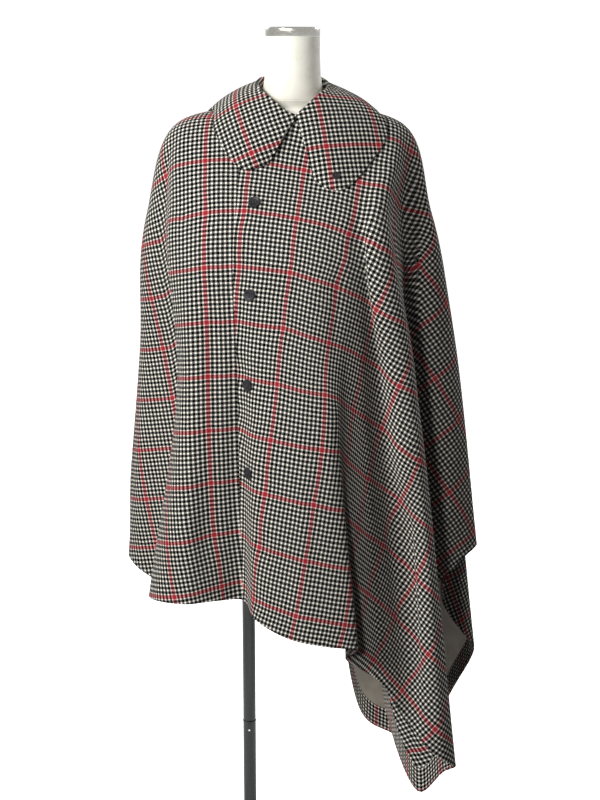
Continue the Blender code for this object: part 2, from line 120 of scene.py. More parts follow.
# Ridges, valleys, edges and corners of the cape, in millimetres:
# name, turn in degrees from the front, chest x and y, waist x and y, hem x, y and z
SECTIONS = thousandths(2, 9, (
    ("lap edge", -22, -100, -156, -97, -184, -91, -178, 530),
    ("lap strip", -15, -66, -164, -64, -208, -69, -232, 516),
    ("front belly", -2, 0, -170, -2, -222, -3, -260, 487),
    ("front face", 14, 55, -168, 46, -222, 62, -262, 474),
    ("first ridge", 24, 90, -161, 76, -210, 117, -242, 458),
    ("under fold", 29, 101, -155, 92, -193, 96, -210, 431),
    ("slope", 36, 113, -149, 123, -168, 165, -178, 365),
    ("first valley", 45, 125, -144, 154, -134, 220, -168, 275),
    ("second flank", 52, 139, -144, 180, -150, 251, -184, 238),
    ("second crest", 58, 153, -138, 203, -146, 284, -176, 208),
    ("second turn", 63, 168, -115, 216, -117, 308, -140, 178),
    ("second back", 65.5, 179, -93, 213, -98, 288, -118, 156),
    ("front corner", 68, 189, -69, 206, -80, 243, -104, 107),
    ("deep valley", 73, 203, -47, 199, -46, 172, -60, 318),
    ("valley wall", 78, 230, -34, 238, -28, 235, -30, 450),
    ("arm front", 83, 250, -20, 280, -10, 304, -10, 528),
    ("left arm", 90, 260, 6, 308, 22, 357, 28, 565),
    ("arm back", 97, 258, 36, 304, 54, 350, 58, 555),
    ("back tuck", 102, 249, 56, 280, 70, 298, 66, 470),
    ("tuck turn", 107, 242, 70, 270, 86, 300, 84, 425),
    ("flute fore", 110, 241, 79, 280, 98, 345, 98, 350),
    ("back flute", 113, 238, 88, 288, 114, 370, 120, 312),
    ("flute turn", 118, 226, 102, 276, 136, 334, 152, 210),
    ("back corner", 125, 208, 114, 245, 144, 268, 170, 78),
    ("corner face", 132, 186, 124, 205, 150, 205, 190, 88),
    ("corner rise", 140, 160, 134, 165, 160, 138, 202, 142),
    ("corner edge", 147, 135, 140, 135, 174, 116, 226, 240),
    ("back ridge", 155, 105, 146, 110, 196, 112, 262, 330),
    ("back valley", 164, 66, 150, 62, 178, 60, 205, 385),
    ("middle back", 180, 0, 156, 0, 204, -5, 245, 430),
    ("right valley", 193, -55, 150, -62, 178, -75, 190, 455),
    ("right ridge", 207, -108, 144, -120, 194, -135, 240, 470),
    ("blade valley", 220, -152, 126, -172, 150, -195, 165, 490),
    ("blade ridge", 235, -196, 108, -222, 150, -255, 190, 505),
    ("side valley", 250, -232, 74, -256, 90, -272, 100, 525),
    ("arm ridge", 262, -255, 38, -280, 58, -315, 66, 540),
    ("right arm", 270, -266, 8, -287, 22, -321, 26, 545),
    ("side face", 277, -260, -20, -274, -10, -302, -6, 532),
    ("side wall", 284, -244, -42, -246, -34, -260, -32, 512),
    ("hidden valley", 289, -226, -56, -204, -60, -228, -64, 505),
    ("right turn", 295, -222, -80, -206, -102, -265, -106, 515),
    ("right flank", 303, -210, -108, -200, -154, -250, -178, 530),
    ("right face", 315, -172, -134, -166, -188, -191, -213, 536),
    ("right front", 328, -132, -150, -126, -189, -135, -193, 535),
))
TURN, CHEST_X, CHEST_Y, WAIST_X, WAIST_Y, HEM_X, HEM_Y, HEM_DROP = range(1, 9)

# Collar, one row per column of cloth: turn at the neck, turn at the edge, fall and stand in millimetres
COLLAR = thousandths(2, 4, (
    (6, 10, 106, 16),
    (10, 16, 132, 20),
    (16, 23, 144, 25),
    (25, 31, 143, 31),
    (37, 41, 133, 38),
    (52, 54, 117, 41),
    (70, 70, 94, 39),
    (90, 90, 80, 37),
    (115, 115, 88, 37),
    (145, 145, 96, 37),
    (180, 180, 100, 34),
    (215, 215, 96, 37),
    (245, 245, 88, 40),
    (270, 270, 68, 41),
    (290, 290, 68, 42),
    (308, 306, 81, 41),
    (323, 319, 89, 37),
    (336, 329, 99, 31),
    (346, 337, 108, 25),
    (354, 344, 98, 20),
    (364, 351, 78, 16),
))
AT_NECK, AT_EDGE, FALL, STAND = range(4)
COLLAR_KNOTS = (0.0, 0.8, 1.6, 2.3, 3.3, 4.3, 5.5, 6.7)

# Dress form rings: height, half width, half depth, middle y
TORSO = (
    (0.720, 0.138, 0.090, 0.012),
    (0.732, 0.158, 0.106, 0.012),
    (0.800, 0.168, 0.112, 0.012),
    (0.880, 0.158, 0.104, 0.008),
    (0.955, 0.134, 0.089, 0.002),
    (1.020, 0.121, 0.083, 0.000),
    (1.090, 0.130, 0.094, -0.004),
    (1.170, 0.146, 0.112, -0.010),
    (1.250, 0.160, 0.104, -0.002),
    (1.305, 0.186, 0.088, 0.006),
    (1.336, 0.195, 0.072, 0.010),
    (1.358, 0.190, 0.058, 0.012),
    (1.376, 0.174, 0.054, 0.012),
    (1.394, 0.114, 0.054, 0.010),
    (1.404, 0.0740, 0.050, 0.010),
    (1.420, 0.0600, 0.052, 0.004),
    (1.450, 0.052, 0.052, -0.002),
    (1.490, 0.049, 0.050, -0.006),
    (NECK_TOP, 0.0485, 0.0490, NECK_Y),
)

# Soft creases pressed into the cape: section, then in millimetres the shift along the cloth, height,
# half width and sway along the cloth, then the drops where it starts and ends
CREASES = thousandths(1, 5, (
    ("front belly", 20, 2.2, 16, 10, 0.42, 1.02),
    ("front face", -16, -2.6, 14, -12, 0.46, 0.96),
    ("front face", 14, 1.8, 12, 8, 0.3, 0.8),
    ("slope", 10, -2.2, 16, 14, 0.34, 0.92),
    ("second flank", 0, 2, 12, -6, 0.26, 0.85),
    ("second crest", 14, -1.6, 10, 6, 0.4, 1.02),
    ("arm front", 12, 2.4, 16, 8, 0.4, 1.02),
    ("arm back", 6, -2.4, 14, -10, 0.3, 0.98),
    ("corner face", 10, 3, 18, 12, 0.4, 1.02),
    ("back ridge", 12, -2.4, 14, 8, 0.34, 1.02),
    ("back valley", 22, 2.4, 16, -10, 0.4, 1.02),
    ("middle back", 30, -2.6, 18, 10, 0.36, 1.02),
    ("right ridge", 14, 2.2, 14, -8, 0.38, 1.02),
    ("blade ridge", -18, -2.2, 14, 10, 0.32, 0.96),
    ("side valley", 16, 2.2, 14, 8, 0.4, 1.02),
    ("right arm", 12, -2.4, 14, -10, 0.34, 0.98),
    ("right flank", 14, 2, 12, 8, 0.4, 1.02),
    ("right face", 10, -2.4, 16, -10, 0.36, 0.94),
    ("right front", -12, 1.8, 14, 6, 0.5, 1.02),
    ("second flank", 8, 15, 56, 0, 0.1, 0.5),
    ("first ridge", -10, -6, 30, 0, 0.2, 0.55),
    ("first valley", 26, -21, 34, 0, 0.54, 1.05),
    ("second crest", -10, 5.5, 22, 0, 0.62, 1.05),
    ("right face", -18, 6, 22, 0, 0.34, 1.0),
    ("right front", -16, -8.5, 22, 0, 0.34, 1.0),
    ("right arm", 0, 5, 70, 0, 0.3, 0.98),
    ("left arm", 0, -7, 60, 0, 0.15, 0.6),
    ("valley wall", -4, -16, 34, 0, 0.2, 0.98),
))

# Red stripes on the two fronts: millimetres round the cloth, thousandths of the drop, warp and weft stripe
LEFT_STRIPES = thousandths(0, 2, (
    (28, 198, 0, 1), (21, 313, 0, 2), (13, 420, None, 3), (15, 525, None, 4), (11, 363, 0, None),
    (7, 420, 0, None), (4, 525, 0, None), (2, 610, 0, None), (146, 88, 1, 0), (125, 193, 1, 1),
    (114, 295, 1, 2), (103, 398, 1, 3), (92, 506, 1, 4), (78, 621, 1, 5), (76, 730, 1, 6),
    (67, 841, 1, 7), (56, 957, 1, 8), (279, 143, 2, 0), (219, 234, 2, 1), (193, 322, 2, 2),
    (194, 427, 2, 3), (192, 515, 2, 4), (178, 619, 2, 5), (157, 724, 2, 6), (141, 836, 2, 7),
    (124, 952, 2, 8), (365, 336, 3, 2), (305, 433, 3, 3), (219, 842, 3, 7), (198, 954, 3, 8),
    (213, 733, None, 6), (401, 257, None, 1), (390, 453, 4, 3), (356, 517, None, 4), (378, 549, None, 4),
    (413, 559, 5, 4), (311, 630, None, 5), (357, 617, None, 5), (373, 633, 5, 5), (431, 653, 6, 5),
    (304, 736, None, 6), (352, 714, None, 6), (383, 746, 6, 6), (435, 755, None, 6), (301, 841, None, 7),
    (346, 829, 6, 7), (403, 850, 7, 7), (433, 857, None, 7), (302, 955, 6, 8), (355, 946, 7, 8),
    (403, 969, 8, 8), (437, 797, 7, None), (290, 989, 6, None), (637, 361, 4, 1), (714, 485, None, 1),
    (663, 482, 5, None), (667, 597, 6, 2), (722, 729, None, 2), (669, 713, 7, None), (689, 841, 8, 3),
    (731, 963, None, 3), (675, 953, 9, None), (721, 975, 9, None),
))
RIGHT_STRIPES = thousandths(0, 2, (
    (2010, 285, None, 1), (2070, 242, -1, 1), (2106, 218, None, 1), (2023, 371, None, 2), (2065, 347, -1, 2),
    (2125, 320, None, 2), (2005, 472, None, 3), (2064, 449, -1, 3), (2116, 429, None, 3), (2061, 551, -1, 4),
    (2114, 533, None, 4), (2065, 654, -1, 5), (2121, 637, None, 5), (1972, 784, -2, 6), (2073, 756, -1, 6),
    (2123, 746, None, 6), (1998, 886, -2, 7), (2079, 862, -1, 7), (2122, 853, None, 7), (2021, 987, -2, 8),
    (2093, 970, -1, 8), (2120, 962, None, 8), (1833, 350, None, 1), (1809, 460, None, 2), (1792, 562, None, 3),
    (1843, 536, None, 3), (1772, 769, None, 5), (1822, 737, None, 5), (1754, 876, None, 6), (1819, 834, None, 6),
    (1772, 963, None, 7), (1808, 937, None, 7),
))


def eased(u, wide, start, end, leave, arrive):
    """Cubic from start to end with the slopes at which it leaves and arrives."""
    return (
        start * (2 * u**3 - 3 * u**2 + 1)
        + end * (3 * u**2 - 2 * u**3)
        + leave * wide * (u**3 - 2 * u**2 + u)
        + arrive * wide * (u**3 - u**2)
    )


def curve(knots, points, at):
    """Smooth curve through points given at rising knots, read at any places."""
    knots = np.asarray(knots, float)
    points = np.asarray(points, float)
    shape = (-1,) + (1,) * (points.ndim - 1)
    step = np.diff(knots).reshape(shape)
    slope = np.diff(points, axis=0) / step
    tangent = np.empty_like(points)
    tangent[0], tangent[-1] = slope[0], slope[-1]
    tangent[1:-1] = (slope[:-1] * step[1:] + slope[1:] * step[:-1]) / (step[1:] + step[:-1])
    at = np.atleast_1d(np.asarray(at, float))
    cell = np.clip(np.searchsorted(knots, at, side="right") - 1, 0, len(knots) - 2)
    wide = step[cell]
    u = (at - knots[cell]).reshape(shape) / wide
    return eased(u, wide, points[cell], points[cell + 1], tangent[cell], tangent[cell + 1])


def read_grid(grid, rows, columns, at_rows, at_columns):
    """Grid of points read smoothly at other rows and columns."""
    grid = curve(rows, grid, at_rows)
    return np.swapaxes(curve(columns, np.swapaxes(grid, 0, 1), at_columns), 0, 1)


def lengths_along(lines):
    """Distance along each line from its first point to every point."""
    step = np.linalg.norm(np.diff(lines, axis=-2), axis=-1)
    return np.concatenate((np.zeros(step.shape[:-1] + (1,)), np.cumsum(step, axis=-1)), axis=-1)


def spun(flat, angle):
    cos, sin = np.cos(angle), np.sin(angle)
    return np.stack((cos * flat[..., 0] - sin * flat[..., 1], sin * flat[..., 0] + cos * flat[..., 1]), -1)


def smooth_step(x):
    x = np.clip(x, 0.0, 1.0)
    return x * x * (3 - 2 * x)


def unit(vectors):
    return vectors / np.linalg.norm(vectors, axis=-1, keepdims=True)


def neck_point(turn):
    a = math.radians(turn)
    return (
        NECK_HALF_WIDTH * math.sin(a),
        NECK_MID_Y - NECK_HALF_DEPTH * math.cos(a),
        NECK_Z - NECK_TILT * math.cos(a) - NECK_DIP * math.cos(a) ** 2,
    )


def shoulder_point(turn):
    a = math.radians(turn)
    rise = SHOULDER_RISE * math.sin(a) ** 2 + SHOULDER_BACK_RISE * (1 - math.cos(a))
    return (
        SHOULDER_MID_X + SHOULDER_HALF_WIDTH * math.sin(a),
        -SHOULDER_HALF_DEPTH * math.cos(a),
        SHOULDER_FRONT_Z + rise,
    )


def stations(row):
    return (
        neck_point(row[TURN]),
        shoulder_point(row[TURN]),
        (row[CHEST_X], row[CHEST_Y], CHEST_Z),
        (row[WAIST_X], row[WAIST_Y], WAIST_Z),
        (row[HEM_X], row[HEM_Y], row[HEM_DROP]),
    )


RINGS = np.array([stations(row) for row in SECTIONS])
GIRTH = np.linalg.norm(np.roll(RINGS, -1, axis=0)[:, 3:, :2] - RINGS[:, 3:, :2], axis=2).mean(axis=1)
STARTS = np.concatenate(([0.0], np.cumsum(GIRTH)))
ROUND = STARTS[-1]
PLACE = {row[0]: start for row, start in zip(SECTIONS, STARTS)}
LOOP_KNOTS = np.concatenate((STARTS[:-1] - ROUND, STARTS[:-1], STARTS[:-1] + ROUND))
LOOP_RINGS = np.concatenate((RINGS, RINGS, RINGS))
LOOP_TURNS = np.array([row[TURN] for row in SECTIONS], float)
LOOP_TURNS = np.concatenate((LOOP_TURNS - 360, LOOP_TURNS, LOOP_TURNS + 360))
EDGE = PLACE["lap edge"]
LEFT_SEAM = PLACE["left arm"]
BACK_SEAM = PLACE["middle back"]
RIGHT_SEAM = PLACE["right arm"]
LAP_LIFT = -(CLOTH + LAP_CLEAR)
INSIDE_LIFT = -(CLOTH / 2 + INSIDE_CLEAR + INSIDE_CLOTH / 2)


def place_of_turn(turn):
    return np.interp(turn, LOOP_TURNS, LOOP_KNOTS)


def down_lines(places):
    five = curve(LOOP_KNOTS, LOOP_RINGS, places)
    step = np.linalg.norm(np.diff(five, axis=1), axis=2)
    return five, step, lengths_along(five)


def drop_length(places):
    return down_lines(places)[2][:, -1]


def cape(places, drops):
    """Points of the cape's middle surface, one line of drops (0 neck to 1 hem) per place."""
    five, step, knots = down_lines(places)
    slope = np.diff(five, axis=1) / step[..., None]
    tangent = np.empty_like(five)
    tangent[:, 0], tangent[:, -1] = slope[:, 0], slope[:, -1]
    ahead, behind = step[:, 1:, None], step[:, :-1, None]
    tangent[:, 1:-1] = (slope[:, :-1] * ahead + slope[:, 1:] * behind) / (ahead + behind)
    at = drops * knots[:, -1:]
    cell = np.clip((at[:, :, None] >= knots[:, None, :]).sum(axis=2) - 1, 0, 3)
    row = np.arange(len(five))[:, None]
    wide = step[row, cell][..., None]
    u = (at - knots[row, cell])[..., None] / wide
    return eased(u, wide, five[row, cell], five[row, cell + 1], tangent[row, cell], tangent[row, cell + 1])


def outward(places, drops):
    above, below = np.maximum(drops - DROP_STEP, 0.0), np.minimum(drops + DROP_STEP, 1.0)
    down = cape(places, below) - cape(places, above)
    around = cape(places + PLACE_STEP, drops) - cape(places - PLACE_STEP, drops)
    return unit(np.cross(down, around))


def creased(places, drops):
    """Height of the soft creases above the plain cape."""
    total = np.zeros(drops.shape)
    for name, shift, height, half, sway, start, end in CREASES:
        middle = PLACE[name] + shift + sway * np.sin(3.0 * drops + 40 * half)
        away = (places[:, None] - middle + ROUND / 2) % ROUND - ROUND / 2
        there = smooth_step((drops - start) / CREASE_IN) * smooth_step((end - drops) / CREASE_OUT)
        uneven = 1 + CREASE_UNEVEN * np.sin(9 * drops + 70 * shift)
        total += height * there * uneven * np.exp(-((away / half) ** 2))
    return total


def hang(places, drops, lift):
    """Points of a layer of cloth hanging on the cape, and their outward directions."""
    facing = outward(places, drops)
    points = cape(places, drops) + facing * (lift + creased(places, drops))[..., None]
    points[..., 2] += LIFT_UP
    return points, facing


def flatten(points, turns=160, begin=None, pins=None, firm=None):
    """Lays a grid of cloth points flat, keeping lengths as nearly as the cloth allows.

    Pins hold mixes of the points to a flat x, a flat y or both; firm says how stiff each cell is.
    """
    wide, deep = points.shape[:2]
    index = np.arange(wide * deep).reshape(wide, deep)
    a, b, c, d = (k.ravel() for k in (index[:-1, :-1], index[1:, :-1], index[1:, 1:], index[:-1, 1:]))
    halves = ((a, b, c), (a, c, d), (a, b, d), (b, c, d))
    corner = np.concatenate([np.stack(half, axis=1) for half in halves])
    p = points.reshape(-1, 3)
    one, two = p[corner[:, 1]] - p[corner[:, 0]], p[corner[:, 2]] - p[corner[:, 0]]
    long = np.linalg.norm(one, axis=1)
    along = (one * two).sum(axis=1) / long
    up = np.linalg.norm(np.cross(one, two), axis=1) / long
    nought = np.zeros_like(long)
    own = np.stack((np.stack((nought, nought), 1), np.stack((long, nought), 1), np.stack((along, up), 1)), 1)
    count = len(p)
    pull = np.zeros((count, count))
    weights = []
    for k in range(3):
        i, j = (k + 1) % 3, (k + 2) % 3
        to_i, to_j = own[:, i] - own[:, k], own[:, j] - own[:, k]
        dot = (to_i * to_j).sum(axis=1)
        weight = np.maximum(dot / (long * up), 0.05)
        if firm is not None:
            weight = weight * np.tile(firm.ravel(), 4)
        weights.append((i, j, weight))
        np.add.at(pull, (corner[:, i], corner[:, i]), weight)
        np.add.at(pull, (corner[:, j], corner[:, j]), weight)
        np.add.at(pull, (corner[:, i], corner[:, j]), -weight)
        np.add.at(pull, (corner[:, j], corner[:, i]), -weight)
    held = np.zeros((count, 2))
    if pins is None:
        pull[0] = 0.0
        pull[0, 0] = 1.0
        solve = (np.linalg.inv(pull),) * 2
    else:
        solve = []
        for axis, (mixes, wanted_at) in enumerate(pins):
            held[:, axis] = PIN_PULL * mixes.T @ (wanted_at if axis == 0 else -wanted_at)
            solve.append(np.linalg.inv(pull + PIN_PULL * mixes.T @ mixes))
    top, hem = lengths_along(points[:, 0])[-1], lengths_along(points[:, -1])[-1]
    fall = lengths_along(points)
    fan = max((hem - top) / fall[:, -1].mean(), 0.02)
    around = lengths_along(points.mean(axis=1))
    angle = fan * (around / around[-1])[:, None]
    reach = top / fan + fall
    flat = np.stack((reach * np.sin(angle), reach * np.cos(angle)), axis=2).reshape(-1, 2)
    if begin is not None:
        flat = begin.reshape(-1, 2) * (1, -1)
    for _ in range(turns):
        s = np.zeros((len(corner), 2, 2))
        for i, j, weight in weights:
            now = flat[corner[:, i]] - flat[corner[:, j]]
            rest = own[:, i] - own[:, j]
            s += weight[:, None, None] * now[:, :, None] * rest[:, None, :]
        turn = np.arctan2(s[:, 1, 0] - s[:, 0, 1], s[:, 0, 0] + s[:, 1, 1])
        wanted = np.zeros((count, 2))
        for i, j, weight in weights:
            moved = spun(own[:, i] - own[:, j], turn) * weight[:, None]
            np.add.at(wanted, corner[:, i], moved)
            np.add.at(wanted, corner[:, j], -moved)
        if pins is None:
            wanted[0] = 0.0
        wanted += held
        flat = np.stack((solve[0] @ wanted[:, 0], solve[1] @ wanted[:, 1]), axis=1)
    flat = flat.reshape(wide, deep, 2)
    flat[..., 1] *= -1
    return flat


def on_grain(flat, line):
    """Turns a flat cut so that the chosen line of it stands on the warp."""
    way = line[-1] - line[0]
    return spun(flat, -math.atan2(way[0], -way[1]))


def pin_mixes(places, drops, rows, column):
    """Mixes of the grid points under each stripe that has a number in the column, and its place."""
    kept = [row for row in rows if row[column] is not None]
    mixes = np.zeros((len(kept), len(places), len(drops)))
    for k, row in enumerate(kept):
        x = np.clip((row[0] - places[0]) / (places[1] - places[0]), 0, len(places) - 1.001)
        y = np.clip((row[1] - drops[0]) / (drops[1] - drops[0]), 0, len(drops) - 1.001)
        i, j = int(x), int(y)
        for di, share in ((0, 1 - (x - i)), (1, x - i)):
            mixes[k, i + di, j] += share * (1 - (y - j))
            mixes[k, i + di, j + 1] += share * (y - j)
    sign = 1 if column == 2 else -1
    wanted = np.array([sign * row[column] * REPEAT + CHECK / 4 for row in kept])
    return mixes.reshape(len(kept), -1), wanted


def even(first, last, step):
    """Places from first to last with a close pair at each end for a crisp edge."""
    count = max(int(round((last - first) / step)), 2)
    line = np.linspace(first, last, count + 1)
    return np.concatenate((line[:1], [first + EDGE_PAIR], line[1:-1], [last - EDGE_PAIR], line[-1:]))


def edge_loop(across, along):
    loop = [(i, 0) for i in range(across)]
    loop += [(across - 1, j) for j in range(1, along)]
    loop += [(i, along - 1) for i in range(across - 2, -1, -1)]
    loop += [(0, j) for j in range(along - 2, 0, -1)]
    return np.array(loop)


def sew(name, points, facing, thick, flat, finishes, reverse=None):
    """Thin closed shell of cloth with a rounded edge, mapped in metres by its flat cut."""
    across, along = points.shape[:2]
    index = np.arange(across * along).reshape(across, along)
    back = across * along
    outer = (points + facing * thick / 2).reshape(-1, 3)
    inner = (points - facing * thick / 2).reshape(-1, 3)
    loop = edge_loop(across, along)
    li, lj = loop[:, 0], loop[:, 1]
    side = unit(points[li, lj] - points[np.clip(li, 1, across - 2), lj] + 1e-12)
    end = unit(points[li, lj] - points[li, np.clip(lj, 1, along - 2)] + 1e-12)
    at_side = ((li == 0) | (li == across - 1))[:, None]
    at_end = ((lj == 0) | (lj == along - 1))[:, None]
    middle = points[li, lj] + (side * at_side + end * at_end) * thick * 0.30
    verts = np.concatenate((outer, inner, middle))
    a, b = index[:-1, :-1].ravel(), index[1:, :-1].ravel()
    front = np.stack((a, a + 1, b + 1, b), axis=1)
    rear = np.stack((back + a, back + b, back + b + 1, back + a + 1), axis=1)
    rim = index[li, lj]
    after = np.roll(rim, -1)
    mid = 2 * back + np.arange(len(rim))
    mid_after = np.roll(mid, -1)
    lip = np.stack((rim, after, mid_after, mid), axis=1)
    under = np.stack((mid, mid_after, back + after, back + rim), axis=1)
    faces = np.concatenate((front, rear, lip, under))
    mesh = bpy.data.meshes.new(name)
    mesh.from_pydata(verts.tolist(), [], faces.tolist())
    mesh.polygons.foreach_set("use_smooth", np.ones(len(faces), bool))
    spread = flat.reshape(-1, 2)
    spread = np.concatenate((spread, spread, flat[li, lj]))
    loops = np.empty(len(mesh.loops), np.int32)
    mesh.loops.foreach_get("vertex_index", loops)
    layer = mesh.uv_layers.new(name="cut")
    layer.data.foreach_set("uv", spread[loops].astype(np.float32).ravel())
    for finish in finishes:
        mesh.materials.append(finish)
    if reverse is not None:
        which = np.zeros(len(faces), np.int32)
        which[len(front) : len(front) + len(rear)] = reverse.ravel()
        mesh.polygons.foreach_set("material_index", which)
    mesh.update()
    piece = bpy.data.objects.new(name, mesh)
    bpy.context.scene.collection.objects.link(piece)
    return piece


def finish_piece(piece, node_name):
    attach(piece, "root")
    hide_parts(node_name)


# Finishes


def new_finish(name):
    finish = bpy.data.materials.new(name)
    finish.use_nodes = True
    tree = finish.node_tree
    return finish, tree, tree.nodes["Principled BSDF"]


def node(tree, kind, **values):
    made = tree.nodes.new(kind)
    for key, value in values.items():
        setattr(made, key, value)
    return made


def preset(made, values):
    for key, value in values.items():
        made.inputs[key].default_value = value


def feed(tree, sockets, values):
    """Gives each socket its number, its colour or the link that it takes its value from."""
    for socket, value in zip(sockets, values):
        if isinstance(value, (int, float)):
            socket.default_value = value
        elif isinstance(value, tuple):
            socket.default_value = (*value, 1.0)
        else:
            tree.links.new(value, socket)


def maths(tree, operation, *values):
    made = node(tree, "ShaderNodeMath", operation=operation)
    feed(tree, made.inputs, values)
    return made.outputs[0]


def wave(tree, along, length):
    return maths(tree, "SINE", maths(tree, "MULTIPLY", along, 2 * math.pi / length))


def ramp_between(tree, value, low, high, to_low=0.0, to_high=1.0):
    made = node(tree, "ShaderNodeMapRange", interpolation_type="SMOOTHSTEP")
    tree.links.new(value, made.inputs["Value"])
    preset(made, {"From Min": low, "From Max": high, "To Min": to_low, "To Max": to_high})
    return made.outputs["Result"]


def mixed(tree, factor, first, second, blend="MIX"):
    made = node(tree, "ShaderNodeMix", data_type="RGBA", blend_type=blend)
    feed(tree, (made.inputs[0], made.inputs[6], made.inputs[7]), (factor, first, second))
    return made.outputs[2]


def clouds(tree, at, scale, detail, dimensions="2D"):
    made = node(tree, "ShaderNodeTexNoise", noise_dimensions=dimensions)
    preset(made, {"Scale": scale, "Detail": detail})
    tree.links.new(at, made.inputs["Vector"])
    return made


def raised(tree, shader, height, strength, distance):
    bump = node(tree, "ShaderNodeBump")
    preset(bump, {"Strength": strength, "Distance": distance})
    tree.links.new(height, bump.inputs["Height"])
    tree.links.new(bump.outputs["Normal"], shader.inputs["Normal"])


TWILL, LINING_THREAD = 0.00164, 0.0012
CREAM = (0.93, 0.90, 0.835)
BLACK = (0.0012, 0.0011, 0.0012)
RED = (0.50, 0.056, 0.076)


def yarn_order(tree, along):
    """Colour of the yarns in one direction: black and cream with a red stripe each repeat."""
    dark = ramp_between(tree, wave(tree, along, CHECK), -0.40, -0.16)
    share = maths(tree, "FRACT", maths(tree, "ADD", maths(tree, "MULTIPLY", along, 1 / REPEAT), 0.5))
    off = maths(tree, "ABSOLUTE", maths(tree, "SUBTRACT", share, 0.5 + 0.25 * CHECK / REPEAT))
    red = ramp_between(tree, off, 0.38 * CHECK / REPEAT, 0.50 * CHECK / REPEAT, 1.0, 0.0)
    return mixed(tree, red, mixed(tree, dark, CREAM, BLACK), RED)


def checked_wool():
    """Black and cream shepherd's check in twill, with a red windowpane every twelfth check."""
    finish, tree, shader = new_finish("checked_wool")
    cut = node(tree, "ShaderNodeUVMap", uv_map="cut")
    wobble = clouds(tree, cut.outputs["UV"], 60.0, 1.0)
    centred = node(tree, "ShaderNodeVectorMath", operation="SUBTRACT")
    centred.inputs[1].default_value = (0.5, 0.5, 0.5)
    tree.links.new(wobble.outputs["Color"], centred.inputs[0])
    scaled = node(tree, "ShaderNodeVectorMath", operation="SCALE")
    scaled.inputs["Scale"].default_value = 0.0011
    tree.links.new(centred.outputs[0], scaled.inputs[0])
    moved = node(tree, "ShaderNodeVectorMath", operation="ADD")
    tree.links.new(cut.outputs["UV"], moved.inputs[0])
    tree.links.new(scaled.outputs[0], moved.inputs[1])
    parts = node(tree, "ShaderNodeSeparateXYZ")
    tree.links.new(moved.outputs[0], parts.inputs[0])
    across, up = parts.outputs["X"], parts.outputs["Y"]
    warp, weft = yarn_order(tree, across), yarn_order(tree, up)
    ridge = wave(tree, maths(tree, "ADD", across, up), TWILL)
    over = ramp_between(tree, ridge, -0.5, 0.5)
    woven = mixed(tree, over, weft, warp)
    shaded = mixed(tree, 1.0, weft, warp, "MULTIPLY")
    colour = mixed(tree, 0.70, woven, shaded)
    fuzz = clouds(tree, cut.outputs["UV"], 900.0, 3.0).outputs["Fac"]
    tone = ramp_between(tree, fuzz, 0.25, 0.75, 0.80, 1.12)
    tinted = mixed(tree, 1.0, colour, tone, "MULTIPLY")
    tree.links.new(tinted, shader.inputs["Base Color"])
    tree.links.new(ramp_between(tree, fuzz, 0.3, 0.7, 0.86, 0.98), shader.inputs["Roughness"])
    preset(shader, {"Specular IOR Level": 0.02, "Sheen Weight": 0.02, "Sheen Roughness": 0.6})
    height = maths(tree, "ADD", maths(tree, "MULTIPLY", ridge, 0.5), maths(tree, "MULTIPLY", fuzz, 1.6))
    raised(tree, shader, height, 0.5, 0.00025)
    return finish


def khaki_lining():
    """Plain woven lining with a slight cloud of tone."""
    finish, tree, shader = new_finish("khaki_lining")
    cut = node(tree, "ShaderNodeUVMap", uv_map="cut")
    parts = node(tree, "ShaderNodeSeparateXYZ")
    tree.links.new(cut.outputs["UV"], parts.inputs[0])
    across, up = (wave(tree, parts.outputs[axis], LINING_THREAD) for axis in ("X", "Y"))
    weave = maths(tree, "MULTIPLY", across, up)
    cloud = clouds(tree, cut.outputs["UV"], 35.0, 4.0)
    tone = ramp_between(tree, cloud.outputs["Fac"], 0.3, 0.7)
    plain = mixed(tree, tone, (0.205, 0.178, 0.140), (0.262, 0.230, 0.182))
    threads = mixed(tree, ramp_between(tree, weave, -0.6, 0.6, 0.0, 0.25), plain, (0.15, 0.13, 0.10))
    tree.links.new(threads, shader.inputs["Base Color"])
    preset(shader, {"Roughness": 0.58, "Sheen Weight": 0.12})
    raised(tree, shader, weave, 0.3, 0.00012)
    return finish


def hard_finish(name, light, dark, rough, metal, scale, bumpy, stretch=(1, 1, 1), shine=0.5):
    """Painted or metal finish with a slight cloud of tone, gloss and surface unevenness."""
    finish, tree, shader = new_finish(name)
    place = node(tree, "ShaderNodeTexCoord")
    mapping = node(tree, "ShaderNodeMapping")
    mapping.inputs["Scale"].default_value = stretch
    tree.links.new(place.outputs["Object"], mapping.inputs["Vector"])
    cloud = clouds(tree, mapping.outputs["Vector"], scale, 5.0, "3D").outputs["Fac"]
    tone = ramp_between(tree, cloud, 0.3, 0.7)
    tree.links.new(mixed(tree, tone, dark, light), shader.inputs["Base Color"])
    tree.links.new(ramp_between(tree, cloud, 0.3, 0.7, *rough), shader.inputs["Roughness"])
    preset(shader, {"Metallic": metal, "Specular IOR Level": shine})
    raised(tree, shader, cloud, 0.25, bumpy)
    return finish


